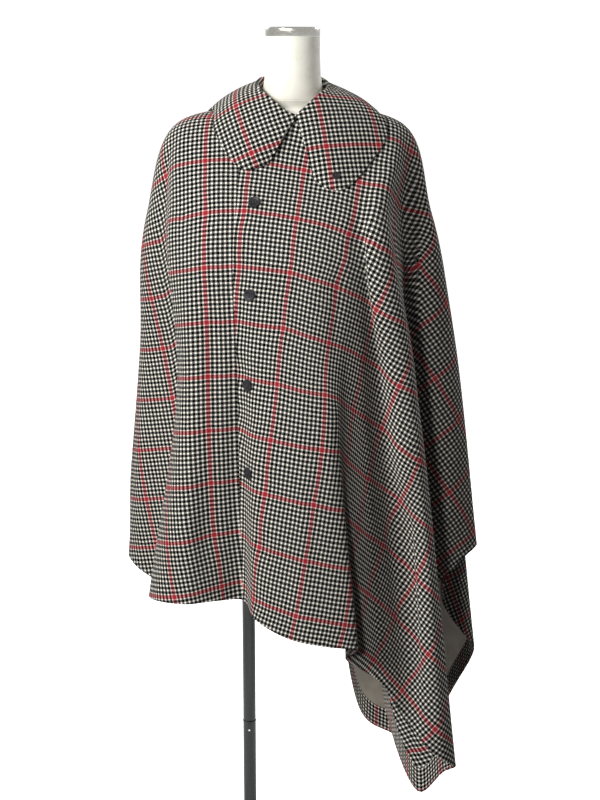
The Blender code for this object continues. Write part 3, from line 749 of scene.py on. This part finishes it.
WOOL = checked_wool()
LINING = khaki_lining()
HORN = hard_finish(
    "dark_horn", (0.020, 0.020, 0.023), (0.008, 0.008, 0.009), (0.26, 0.44), 0.0, 260, 0.0001, shine=0.18
)
THREAD = hard_finish("button_thread", (0.05, 0.05, 0.055), (0.02, 0.02, 0.02), (0.7, 0.9), 0.0, 2500, 0.0001)
FORM = hard_finish("cream_form", (0.86, 0.84, 0.74), (0.82, 0.80, 0.69), (0.26, 0.36), 0.0, 60, 0.0002)
CHROME = hard_finish("chrome", (0.36, 0.35, 0.32), (0.28, 0.275, 0.25), (0.14, 0.26), 1.0, 120, 0.00002, (1, 1, 8))
STEEL = hard_finish(
    "dark_steel", (0.034, 0.035, 0.035), (0.024, 0.025, 0.025), (0.26, 0.40), 0.85, 90, 0.00003, (1, 1, 0.1)
)

# Cape panels


def follow_stripes(coarse, flat, places, drops, stripes, tucked):
    """Shifts a flat cut until its red stripes lie where they hang, giving way inside the folds."""
    pins = [pin_mixes(places, drops, stripes, column) for column in (2, 3)]
    rows = [row for row in stripes if row[2] is not None and row[3] is not None]
    both = [pin_mixes(places, drops, rows, column) for column in (2, 3)]
    now = both[0][0] @ flat.reshape(-1, 2)
    aim = np.stack((both[0][1], both[1][1]), axis=1)
    flat = flat + (aim - now).mean(axis=0)
    firm = np.ones((len(places) - 1, len(drops) - 1))
    middle, down = (places[:-1] + places[1:]) / 2, (drops[:-1] + drops[1:]) / 2
    for first, last, start in tucked:
        inside = ((middle > first) & (middle < last))[:, None] & (down > start)[None, :]
        firm[inside] = TUCK_STIFF
    return flatten(coarse, 150, flat, pins, firm)


def panel(name, node_name, first, last, grain_at, lift=None, stripes=(), tucked=()):
    """One panel of the cape from seam to seam, lined inside down to its hem facing."""
    places = even(first + SEAM / 2, last - SEAM / 2, GRID)
    drops = even(0.0, 1.0, GRID / 1.05)
    grid = np.broadcast_to(drops, (len(places), len(drops)))
    raise_by = np.zeros(len(places)) if lift is None else lift(places)
    points, facing = hang(places, grid, raise_by[:, None])
    coarse_places = np.linspace(places[0], places[-1], LAY_ACROSS)
    coarse_drops = np.linspace(0.0, 1.0, LAY_DOWN)
    coarse = hang(coarse_places, np.broadcast_to(coarse_drops, (LAY_ACROSS, LAY_DOWN)), 0.0)[0]
    flat = flatten(coarse)
    column = int(np.argmin(np.abs(coarse_places - grain_at)))
    flat = on_grain(flat, flat[column, GRAIN_FROM:])
    flat = flat - flat[column, GRAIN_FROM]
    cut = read_grid(flat, coarse_places, coarse_drops, places, drops)
    if stripes:
        flat = follow_stripes(coarse, flat, coarse_places, coarse_drops, stripes, tucked)
    fine = read_grid(flat, coarse_places, coarse_drops, places, drops)
    middle = (places[:-1] + places[1:]) / 2
    above = (1.0 - (drops[:-1] + drops[1:]) / 2)[None, :] * drop_length(middle)[:, None]
    widening = smooth_step((middle - PLACE["second flank"]) / FACING_SPREAD)
    narrowing = smooth_step((PLACE["valley wall"] - middle) / FACING_SPREAD)
    lined = above > FACING_WIDTH + CORNER_FACING * (widening * narrowing)[:, None]
    piece = sew(name, points, facing, CLOTH, fine, (WOOL, LINING), lined)
    finish_piece(piece, node_name)


def lap_lift(places):
    """Depth by which the right front goes under the left one near its edge."""
    return LAP_LIFT * smooth_step((places - (ROUND + EDGE - LAP_FROM)) / LAP_EASE)


# Folds whose inside doesn't show: from, to, drop where it starts
LEFT_TUCKS = (
    (PLACE["first ridge"], PLACE["slope"] - 0.012, 0.5),
    (PLACE["second turn"], PLACE["valley wall"], 0.2),
)
RIGHT_TUCKS = ((PLACE["hidden valley"] - 0.02, PLACE["right turn"] + 0.015, 0.25),)
panel("cloth_front_left", "front_left", EDGE, LEFT_SEAM, EDGE + GRAIN_IN, None, LEFT_STRIPES, LEFT_TUCKS)
panel("cloth_back_left", "back_left", LEFT_SEAM, BACK_SEAM, BACK_SEAM)
panel("cloth_back_right", "back_right", BACK_SEAM, RIGHT_SEAM, BACK_SEAM)
RIGHT_EDGE = ROUND + EDGE
panel(
    "cloth_front_right", "front_right", RIGHT_SEAM, RIGHT_EDGE + LAP_WIDTH, RIGHT_EDGE - GRAIN_IN,
    lap_lift, RIGHT_STRIPES, RIGHT_TUCKS,
)

# Hem facing and lining seen inside the wearer's left side


def inside_strip(name, node_name, first, last, top, bottom, finish):
    """Strip of cloth lying inside the cape, cut along the hem."""
    places = even(first + SEAM / 2, last - SEAM / 2, GRID)
    span = drop_length(places)
    count = max(int(round((top - bottom) / GRID)), 3)
    share = even(0.0, 1.0, 1.0 / count)
    share[1], share[-2] = EDGE_PAIR / (top - bottom), 1 - EDGE_PAIR / (top - bottom)
    above = top + (bottom - top) * share
    drops = 1.0 - above[None, :] / span[:, None]
    points, facing = hang(places, drops, INSIDE_LIFT)
    along = lengths_along(points[:, -1])
    flat = np.stack(np.broadcast_arrays(along[:, None], above[None, :]), axis=2)
    piece = sew(name, points, facing, INSIDE_CLOTH, flat, (finish,))
    finish_piece(piece, node_name)
    return piece, points, flat


FACED_FROM, FACED_TO = PLACE["slope"], PLACE["back ridge"]
for side_name, first, last in (("front", FACED_FROM, LEFT_SEAM), ("back", LEFT_SEAM, FACED_TO)):
    strip, strip_points, strip_flat = inside_strip(
        "facing_strip_" + side_name, "facing_%s_left" % side_name, first, last, FACING_WIDTH, HEM_SHORT, WOOL
    )


def lining_sheet():
    """Plain lining of the wearer's left back, from the chest to the hem facing."""
    places = even(LEFT_SEAM + SEAM / 2, FACED_TO - SEAM / 2, GRID)
    span = drop_length(places)
    start = LINING_TOP * (1.0 - FACING_WIDTH / span)
    end = 1.0 - (FACING_WIDTH + 2 * SEAM) / span
    share = even(0.0, 1.0, GRID / 0.55)
    drops = start[:, None] + (end - start)[:, None] * share[None, :]
    points, facing = hang(places, drops, INSIDE_LIFT)
    coarse_places, coarse_share = np.linspace(places[0], places[-1], 40), np.linspace(0.0, 1.0, 16)
    coarse = read_grid(points, places, share, coarse_places, coarse_share)
    flat = read_grid(flatten(coarse), coarse_places, coarse_share, places, share)
    piece = sew("lining_sheet_back", points, facing, INSIDE_CLOTH, flat, (LINING,))
    finish_piece(piece, "lining_back_left")


lining_sheet()

# Collar


def collar_section(row):
    """Middle line of the collar from the neck seam over the roll to its outer edge."""
    seam = cape(np.atleast_1d(place_of_turn(row[AT_NECK])), np.zeros((1, 1)))[0, 0]
    a = math.radians(row[AT_NECK])
    away = np.array((math.sin(a), -math.cos(a), 0.0))
    up = np.array((0.0, 0.0, 1.0))
    stand = row[STAND]
    edge = np.atleast_1d(place_of_turn(row[AT_EDGE]))
    drop = (row[FALL] / drop_length(edge))[:, None]
    end = (cape(edge, drop) + outward(edge, drop) * (COLLAR_LIE + CLOTH))[0, 0]
    roll = seam + up * (stand - 0.0045) + away * (ROLL_IN + 0.0100)
    swell = np.cross(end - roll, np.cross(up, away))
    swell *= COLLAR_SWELL / np.linalg.norm(swell)
    line = [
        seam + up * 0.0022,
        seam + up * stand * 0.55 + away * ROLL_IN * 0.7,
        seam + up * stand + away * (ROLL_IN + 0.0035),
        roll,
    ]
    line += [roll + (end - roll) * t + swell * 4 * t * (1 - t) for t in (0.25, 0.5, 0.75, 1.0)]
    return np.array(line)


def collar_lines(columns, reads):
    rows = curve(np.arange(len(COLLAR)), np.array(COLLAR, float), columns)
    points = np.array([curve(COLLAR_KNOTS, collar_section(row), reads) for row in rows])
    points[..., 2] += LIFT_UP
    return points


def collar_cut(first, last, columns, reads, turn, offset):
    """Flat cut of one half of the collar, laid on its own grain."""
    coarse_columns, coarse_reads = np.linspace(first, last, 32), np.linspace(0.0, COLLAR_KNOTS[-1], 14)
    flat = flatten(collar_lines(coarse_columns, coarse_reads))
    flat = spun(flat, math.radians(turn)) + np.array(offset)
    return read_grid(flat, coarse_columns, coarse_reads, columns, reads)


def collar():
    """Collar in two halves joined at the middle of the back."""
    last = len(COLLAR) - 1.0
    middle = last / 2
    left, right = even(0.0, middle, COLLAR_STEP), even(middle, last, COLLAR_STEP)
    left[1], left[-2], left[-1] = 0.04, middle - 0.02, middle - COLLAR_SEAM
    right[0], right[1], right[-2] = middle + COLLAR_SEAM, middle + 0.02, last - 0.04
    reads = even(0.0, COLLAR_KNOTS[-1], COLLAR_READ_STEP)
    reads[1], reads[-2] = 0.06, COLLAR_KNOTS[-1] - 0.06
    columns = np.concatenate((left, right))
    points = collar_lines(columns, reads)
    around = np.gradient(points, columns, axis=0)
    facing = unit(np.cross(np.gradient(points, reads, axis=1), around))
    left_cut = collar_cut(0.0, middle, left, reads, *LEFT_COLLAR_GRAIN)
    right_cut = collar_cut(middle, last, right, reads, *RIGHT_COLLAR_GRAIN)
    fine = np.concatenate((left_cut, right_cut))
    piece = sew("cloth_collar", points, facing, CLOTH, fine, (WOOL,))
    finish_piece(piece, "collar")
    whole = flatten(collar_lines(np.linspace(0.0, last, 60), np.linspace(0.0, COLLAR_KNOTS[-1], 14)))
    whole = on_grain(whole, whole[30, 5:])


collar()

# Hard pieces


def deselect():
    bpy.ops.object.select_all(action="DESELECT")


def pick(body, others=()):
    """Selects a body and any others to go with it, and makes it the active one."""
    deselect()
    for thing in (*others, body):
        thing.select_set(True)
    bpy.context.view_layer.objects.active = body


def turned(name, rings, finish, sides=96):
    """Body raised ring by ring from a disc: height, half width, half depth, middle x, middle y."""
    deselect()
    z, wide, deep, x, y = rings[0]
    bpy.ops.mesh.primitive_circle_add(vertices=sides, radius=1.0, fill_type="NGON", location=(x, y, z))
    body = bpy.context.object
    body.name = name
    bpy.ops.object.transform_apply(location=True, rotation=True, scale=True)
    bpy.ops.object.mode_set(mode="EDIT")
    bpy.ops.mesh.select_all(action="SELECT")
    bpy.ops.transform.resize(value=(wide, deep, 1), center_override=(x, y, z))
    for height, half_wide, half_deep, mid_x, mid_y in rings[1:]:
        step = (mid_x - x, mid_y - y, height - z)
        bpy.ops.mesh.extrude_region_move(TRANSFORM_OT_translate={"value": step})
        size = (half_wide / wide, half_deep / deep, 1)
        bpy.ops.transform.resize(value=size, center_override=(mid_x, mid_y, height))
        z, wide, deep, x, y = height, half_wide, half_deep, mid_x, mid_y
    bpy.ops.mesh.select_all(action="SELECT")
    bpy.ops.mesh.normals_make_consistent(inside=False)
    bpy.ops.object.mode_set(mode="OBJECT")
    bpy.ops.object.shade_smooth_by_angle(angle=math.radians(35))
    body.data.materials.append(finish)
    return body


def round_rings(pairs, x, y):
    return [(height + LIFT_UP, radius, radius, x, y) for radius, height in pairs]


def dress_form():
    """Torso and neck with a fine groove where they join."""
    table = np.array(TORSO)
    foot, join = (TORSO_BOTTOM, 0.7215, 0.7245, 0.732), (1.4192, NECK_JOIN, 1.4208)
    body, shoulders = np.linspace(0.745, 1.29, 30), np.linspace(1.30, 1.415, 24)
    heights = np.concatenate((foot, body, shoulders, join, np.linspace(1.425, NECK_TOP, 14)))
    form = curve(table[:, 0], table[:, 1:], heights)
    form[heights == NECK_JOIN, :2] -= GROOVE
    rings = [(z + LIFT_UP, w, d, 0.0, m) for z, (w, d, m) in zip(heights, form)]
    finish_piece(turned("form_torso", rings, FORM), "torso")


def neck_cap():
    base = NECK_TOP + SEAM
    profile = (
        (CAP_RADIUS - 0.0010, base),
        (CAP_RADIUS - 0.0003, base + 0.0003),
        (CAP_RADIUS, base + 0.0010),
        (CAP_RADIUS, CAP_TOP - 0.0034),
        (CAP_RADIUS - 0.0004, CAP_TOP - 0.0018),
        (CAP_RADIUS - 0.0014, CAP_TOP - 0.0006),
        (CAP_RADIUS - 0.0030, CAP_TOP),
        (CAP_RADIUS * 0.60, CAP_TOP - 0.0004),
        (CAP_RADIUS * 0.20, CAP_TOP - 0.0006),
    )
    finish_piece(turned("form_neck_cap", round_rings(profile, 0.0, NECK_Y), CHROME), "neck_cap")


def rounded_rim(radius, top):
    return (radius, top - 0.0022), (radius - 0.0007, top - 0.0007), (radius - 0.0022, top)


def stand():
    foot = FLOOR + PLATE_THICK + SEAM
    tube = foot + FLANGE_THICK
    lower = (
        (FLANGE_RADIUS - 0.0006, foot),
        (FLANGE_RADIUS, foot + 0.0006),
        *rounded_rim(FLANGE_RADIUS, tube),
        (POLE_RADIUS + 0.0030, tube),
        (POLE_RADIUS + 0.0010, tube + 0.0012),
        (POLE_RADIUS, tube + 0.0040),
        (POLE_RADIUS, POLE_JOINT - 0.0034),
        (POLE_RADIUS + 0.0006, POLE_JOINT - 0.0026),
        (POLE_RADIUS + 0.0006, POLE_JOINT - 0.0006),
        (POLE_RADIUS, POLE_JOINT),
    )
    upper = (
        (POLE_RADIUS - 0.0008, POLE_JOINT + SEAM),
        (POLE_RADIUS - 0.0003, POLE_JOINT + 0.0010),
        (POLE_RADIUS - 0.0002, POLE_JOINT + 0.0030),
        (POLE_RADIUS - 0.0002, TORSO_BOTTOM - SEAM),
    )
    finish_piece(turned("tube_lower", round_rings(lower, POLE_X, POLE_Y), STEEL), "pole_lower")
    finish_piece(turned("tube_upper", round_rings(upper, POLE_X, POLE_Y), STEEL), "pole_upper")
    plate = (
        (PLATE_RADIUS - 0.0008, FLOOR),
        (PLATE_RADIUS, FLOOR + 0.0008),
        *rounded_rim(PLATE_RADIUS, FLOOR + PLATE_THICK),
    )
    finish_piece(turned("foot_plate", round_rings(plate, 0.0, 0.0), STEEL, 160), "base")


def place_turned(body, middle, axis):
    """Moves a body made upright at the origin so that it stands on a point along an axis."""
    pick(body)
    body.rotation_mode = "QUATERNION"
    body.rotation_quaternion = Vector((0, 0, 1)).rotation_difference(Vector(axis))
    body.location = middle
    bpy.ops.object.transform_apply(location=True, rotation=True, scale=True)


def spring_catch():
    dome = [(0.0, 1.0), (0.0006, 0.98), (0.0012, 0.84), (0.0016, 0.62), (0.0018, 0.36)]
    rings = [(z, CATCH_RADIUS * k, CATCH_RADIUS * k, 0.0, 0.0) for z, k in dome]
    body = turned("tube_catch", rings, CHROME, 32)
    seat = (POLE_X, POLE_Y - POLE_RADIUS - SEAM, POLE_JOINT - CATCH_DROP + LIFT_UP)
    place_turned(body, seat, (0, -1, 0))
    finish_piece(body, "pole_catch")


def sewn_button(name, node_name, middle, axis, radius, thick):
    """Dished four-hole button with two parallel bars of thread across its holes."""
    profile = (
        (0.00, 0.76), (0.06, 0.82), (0.45, 1.00), (0.80, 0.985), (0.96, 0.94), (1.00, 0.88),
        (0.97, 0.80), (0.80, 0.70), (0.72, 0.62), (0.70, 0.30),
    )
    rings = [(thick * up, radius * out, radius * out, 0.0, 0.0) for up, out in profile]
    body = turned(name, rings, HORN, 48)
    hole, gap = radius * 0.105, radius * 0.20
    for sx in (-1, 1):
        for sy in (-1, 1):
            deselect()
            bpy.ops.mesh.primitive_cylinder_add(
                vertices=12, radius=hole, depth=thick, location=(sx * gap, sy * gap, thick * 0.75)
            )
            drill = bpy.context.object
            cutter = body.modifiers.new("hole", "BOOLEAN")
            cutter.operation, cutter.object, cutter.solver = "DIFFERENCE", drill, "EXACT"
            pick(body)
            bpy.ops.object.modifier_apply(modifier="hole")
            bpy.data.objects.remove(drill, do_unlink=True)
    bars = []
    for sx in (-1, 1):
        deselect()
        bpy.ops.mesh.primitive_cylinder_add(
            vertices=12, radius=hole * 0.75, depth=2 * gap,
            location=(sx * gap, 0, thick * 0.74), rotation=(math.pi / 2, 0, 0),
        )
        bar = bpy.context.object
        bpy.ops.object.mode_set(mode="EDIT")
        bpy.ops.mesh.select_all(action="SELECT")
        bpy.ops.mesh.bevel(offset=hole * 0.3, segments=2, affect="EDGES")
        bpy.ops.object.mode_set(mode="OBJECT")
        bpy.ops.object.shade_smooth()
        bar.data.materials.append(THREAD)
        bars.append(bar)
    pick(body, bars)
    bpy.ops.object.join()
    place_turned(body, middle, axis)
    finish_piece(body, node_name)


def drop_at_height(place, height):
    line = np.linspace(0.05, 1.0, 4000)
    heights = cape(np.array([place]), line[None, :])[0, :, 2]
    return float(line[int(np.argmin(np.abs(heights - height)))])


def front_buttons():
    for number, (inward, height) in enumerate(BUTTONS, 1):
        low, high = (np.array(corner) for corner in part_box("button_front_%d" % number))
        place = np.array([EDGE + inward])
        drop = np.array([[drop_at_height(EDGE + inward, height)]])
        axis = outward(place, drop)[0, 0]
        seat = (low + high) / 2 - axis * BUTTON_THICK / 2
        name = "button_sewn_%d" % number
        sewn_button(name, "button_front_%d" % number, seat.tolist(), axis.tolist(), BUTTON_RADIUS, BUTTON_THICK)


def collar_button():
    low, high = (np.array(corner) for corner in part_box("button_collar"))
    around = collar_lines(np.array((TIP_COLUMN, TIP_COLUMN + 0.05)), np.array((TIP_READ, TIP_READ + 0.05)))
    axis = unit(np.cross(around[0, 1] - around[0, 0], around[1, 0] - around[0, 0]))
    seat = (low + high) / 2 - axis * SMALL_BUTTON_THICK / 2
    sewn_button(
        "button_sewn_collar", "button_collar", seat.tolist(), axis.tolist(), SMALL_BUTTON_RADIUS, SMALL_BUTTON_THICK
    )


dress_form()
neck_cap()
stand()
spring_catch()
front_buttons()
collar_button()

# White room, soft light and camera


def white_room():
    """White floor and dome all round, seen and mirrored but casting no light of their own."""
    profile = [(ROOM_HOLE, 0.0), (ROOM_REACH, 0.0)]
    profile += [(ROOM_REACH * math.cos(a), ROOM_REACH * math.sin(a)) for a in np.linspace(0.1, 1.57, 16)]
    turns = np.linspace(0, 2 * math.pi, ROOM_SIDES, endpoint=False)
    verts = [(r * math.cos(t), r * math.sin(t), z) for r, z in profile for t in turns]
    faces = []
    for ring in range(0, ROOM_SIDES * (len(profile) - 1), ROOM_SIDES):
        for k in range(ROOM_SIDES):
            after = (k + 1) % ROOM_SIDES
            faces.append((ring + k, ring + after, ring + ROOM_SIDES + after, ring + ROOM_SIDES + k))
    mesh = bpy.data.meshes.new("white_room")
    mesh.from_pydata(verts, [], faces)
    mesh.polygons.foreach_set("use_smooth", np.ones(len(faces), bool))
    room = bpy.data.objects.new("white_room", mesh)
    bpy.context.scene.collection.objects.link(room)
    finish, _, shader = new_finish("white_room")
    preset(shader, {"Base Color": (0.80, 0.80, 0.80, 1.0), "Roughness": 0.9})
    preset(shader, {"Emission Color": (1.0, 1.0, 1.0, 1.0), "Emission Strength": 1.0})
    mesh.materials.append(finish)
    room.visible_diffuse = False
    room.visible_shadow = False


def soft_light(name, place, aim_height, size, watts):
    light = bpy.data.lights.new(name, "AREA")
    light.shape = "DISK"
    light.size = size
    light.energy = watts
    lamp = bpy.data.objects.new(name, light)
    lamp.location = place
    lamp.rotation_euler = (Vector((0, 0, aim_height)) - Vector(place)).to_track_quat("-Z", "Y").to_euler()
    bpy.context.scene.collection.objects.link(lamp)


def studio():
    white_room()
    for light in LIGHTS:
        soft_light(*light)
    world = bpy.context.scene.world or bpy.data.worlds.new("studio")
    bpy.context.scene.world = world
    world.use_nodes = True
    preset(world.node_tree.nodes["Background"], {"Color": (1.0, 1.0, 1.0, 1.0), "Strength": SKY_STRENGTH})
    bpy.context.scene.view_settings.view_transform = "Standard"


def camera():
    lens = bpy.data.cameras.new("photo_camera")
    lens.lens = CAMERA_LENS
    lens.sensor_width = CAMERA_WIDTH
    lens.clip_end = 50.0
    eye = bpy.data.objects.new("photo_camera", lens)
    eye.location = CAMERA_PLACE
    eye.rotation_euler = (math.pi / 2 - CAMERA_DIP, 0.0, 0.0)
    bpy.context.scene.collection.objects.link(eye)
    bpy.context.scene.camera = eye


studio()
camera()
